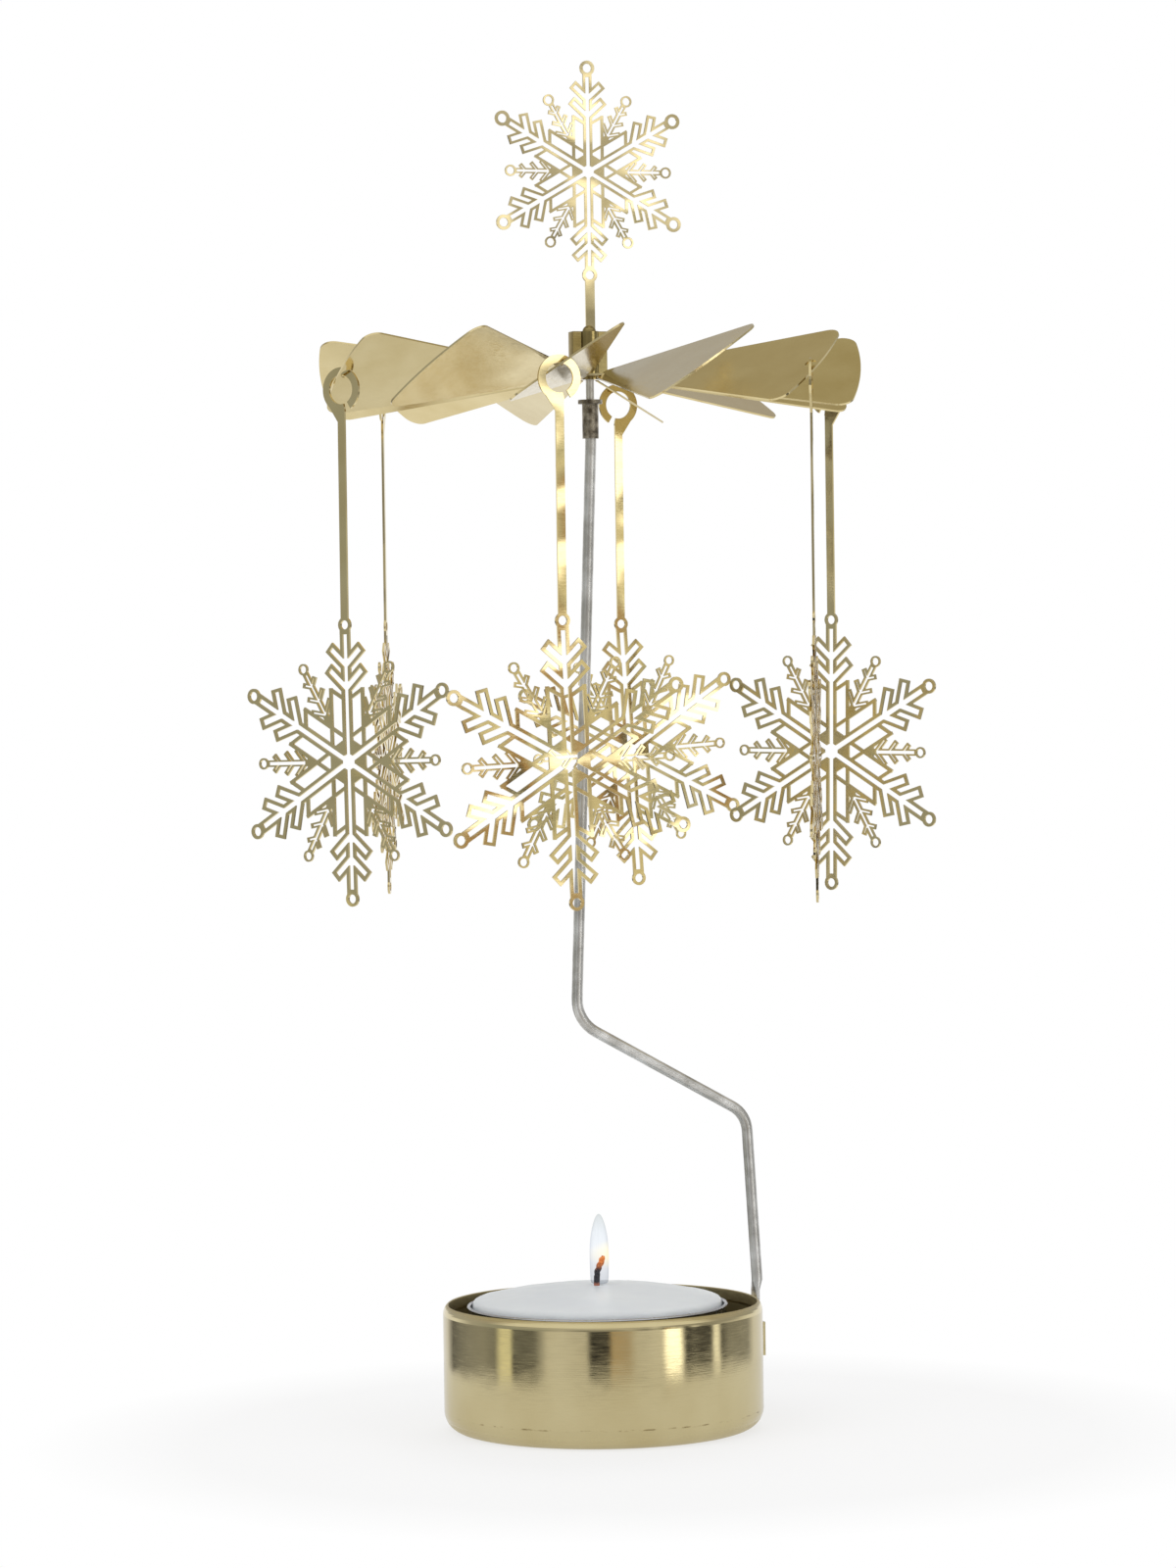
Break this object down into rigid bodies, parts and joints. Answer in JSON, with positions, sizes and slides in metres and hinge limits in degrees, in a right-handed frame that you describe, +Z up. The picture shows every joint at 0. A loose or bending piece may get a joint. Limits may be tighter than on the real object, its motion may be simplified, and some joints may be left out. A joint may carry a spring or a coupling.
{
  "type": "tealight candle carousel",
  "caption": "Brass tealight cup with a bent steel rod and needle, on which a bladed wheel turns in the candle's warm air and carries hanging snowflakes.",
  "frame": {"origin": "centre of the cup's flat underside", "axes": "+Z up along the needle, +X towards the side of the cup that holds the rod's foot"},
  "size_m": [0.1019, 0.0944, 0.2024],
  "materials": {
    "cup_brass": "polished, finely brushed around",
    "rod_steel": "satin nickel plating",
    "sleeve_steel": "dark, rough, crimped",
    "shell_aluminium": "bright pressed foil",
    "wax": "smooth translucent paraffin",
    "wick": "charred cotton cord with a glowing tip",
    "wheel_brass": "polished sheet",
    "clip_brass": "polished folded sheet",
    "snowflake_brass": "polished etched sheet"
  },
  "bodies": {
    "stand": {"cup": "cup_brass", "stand_rod": "rod_steel", "needle_sleeve": "sleeve_steel", "needle": "rod_steel"},
    "tealight": {"tealight_shell": "shell_aluminium", "wax": "wax", "wick": "wick", "wick_sustainer": "shell_aluminium"},
    "carousel": {"wheel": "wheel_brass", "bearing_cap": "clip_brass", "ornament_clip": "clip_brass", "top_snowflake": "snowflake_brass"},
    "hanger_1": {"snowflake_hanger_1": "snowflake_brass"},
    "hanger_2": {"snowflake_hanger_2": "snowflake_brass"},
    "hanger_3": {"snowflake_hanger_3": "snowflake_brass"},
    "hanger_4": {"snowflake_hanger_4": "snowflake_brass"},
    "hanger_5": {"snowflake_hanger_5": "snowflake_brass"},
    "hanger_6": {"snowflake_hanger_6": "snowflake_brass"}
  },
  "joints": [
    {"name": "carousel_spin", "type": "hinge", "parent": "stand", "child": "carousel", "pos_m": [0, 0, 0.16205], "axis": [0, 0, 1], "continuous": true},
    {"name": "tealight_lift", "type": "slide", "parent": "stand", "child": "tealight", "axis": [0, 0, 1], "range_m": [0, 0.022]},
    {"name": "hanger_1_swing", "type": "hinge", "parent": "carousel", "child": "hanger_1", "pos_m": [-0.00437, -0.03902, 0.15346], "axis": [0.4226, -0.9063, 0], "range_deg": [-15, 15]},
    {"name": "hanger_2_swing", "type": "hinge", "parent": "carousel", "child": "hanger_2", "pos_m": [0.03161, -0.02329, 0.15346], "axis": [0.9962, -0.0872, 0], "range_deg": [-15, 15]},
    {"name": "hanger_3_swing", "type": "hinge", "parent": "carousel", "child": "hanger_3", "pos_m": [0.03598, 0.01573, 0.15346], "axis": [0.5736, 0.8192, 0], "range_deg": [-15, 15]},
    {"name": "hanger_4_swing", "type": "hinge", "parent": "carousel", "child": "hanger_4", "pos_m": [0.00437, 0.03902, 0.15346], "axis": [-0.4226, 0.9063, 0], "range_deg": [-15, 15]},
    {"name": "hanger_5_swing", "type": "hinge", "parent": "carousel", "child": "hanger_5", "pos_m": [-0.03161, 0.02329, 0.15346], "axis": [-0.9962, 0.0872, 0], "range_deg": [-15, 15]},
    {"name": "hanger_6_swing", "type": "hinge", "parent": "carousel", "child": "hanger_6", "pos_m": [-0.03598, -0.01573, 0.15346], "axis": [-0.5736, -0.8192, 0], "range_deg": [-15, 15]}
  ]
}
